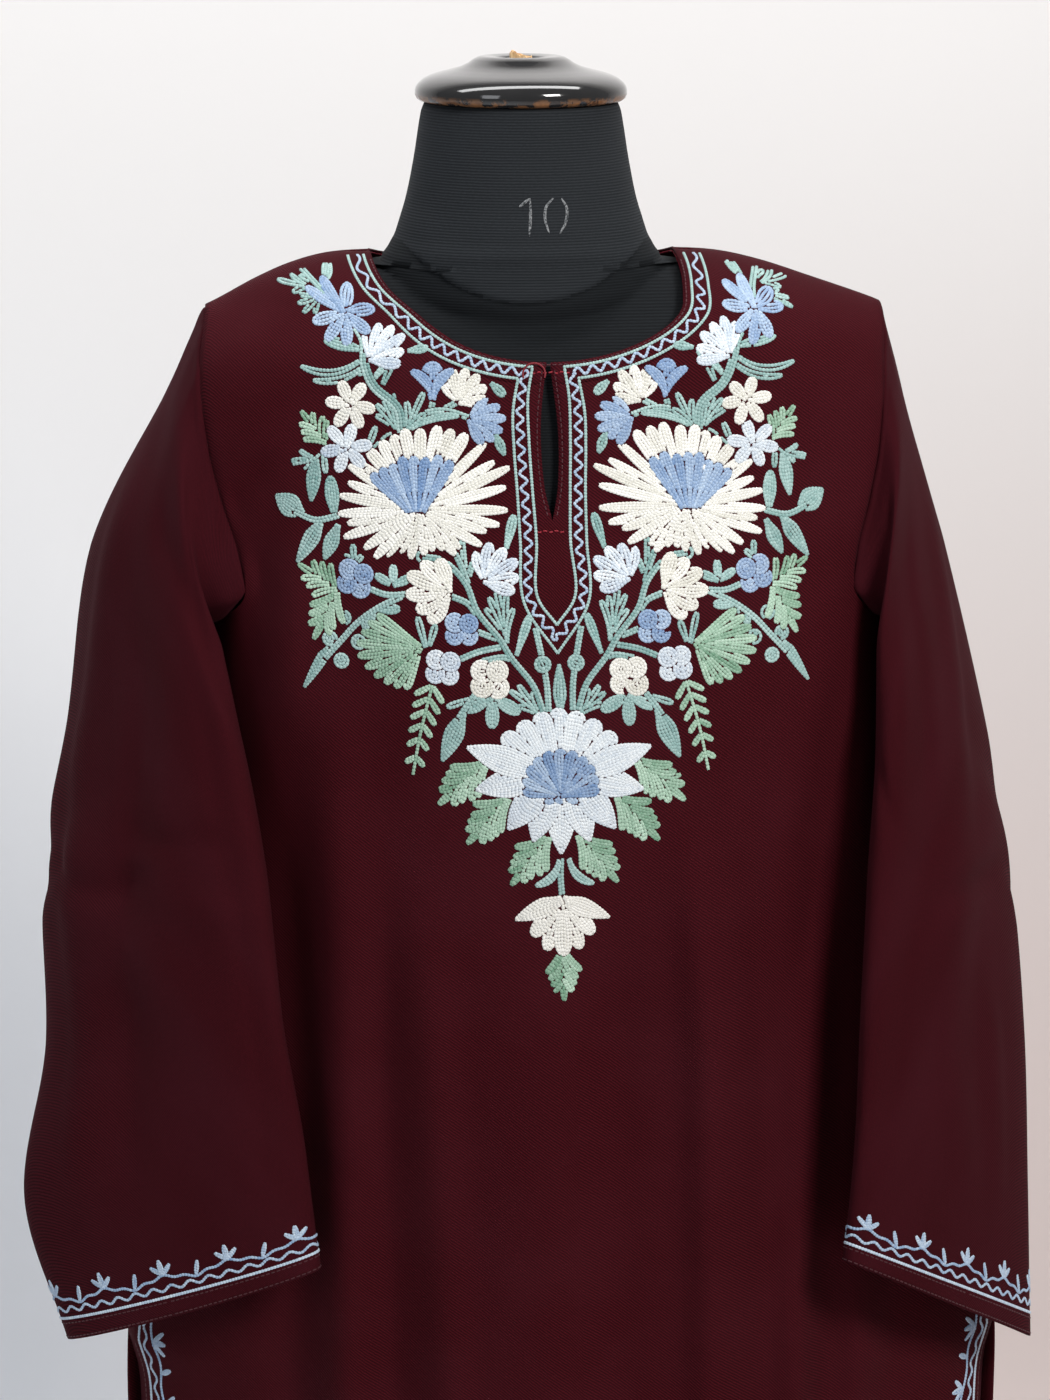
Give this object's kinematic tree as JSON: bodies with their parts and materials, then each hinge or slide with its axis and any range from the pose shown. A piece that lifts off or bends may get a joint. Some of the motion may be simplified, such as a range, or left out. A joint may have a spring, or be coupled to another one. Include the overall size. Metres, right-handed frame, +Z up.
{
  "type": "pheran on a dress form",
  "caption": "Loose woollen tunic with a keyhole neckline, side slits and open sleeves, hanging on a padded dress form on a pole stand.",
  "frame": {"origin": "on the floor at the centre of the round base's underside, on the axis of the pole and neck", "axes": "+Z up, the garment's front faces -Y, +X towards the wearer's left sleeve"},
  "size_m": [0.6032, 0.42, 1.5143],
  "materials": {
    "wool_cloth": "fine woollen twill, matt",
    "facing_cloth": "fine woollen twill, matt, brighter turned edge",
    "form_jersey": "black cotton jersey, matt",
    "cap_lacquer": "black lacquered turned wood, glossy, worn at the rim",
    "raw_wood": "broken raw pine",
    "pole_steel": "plain steel tube look, satin",
    "embroidery_thread": "silk embroidery thread, soft gloss",
    "base_enamel": "black satin enamel"
  },
  "bodies": {
    "root": {"front_panel": "wool_cloth", "back_panel": "wool_cloth", "sleeve_left": "wool_cloth", "sleeve_right": "wool_cloth", "neck_facing": "facing_cloth", "form_torso": "form_jersey", "neck_cap": "cap_lacquer", "cap_stub": "raw_wood", "stand_pole": "pole_steel", "pole_collar": "base_enamel", "stand_base": "base_enamel"}
  },
  "joints": []
}
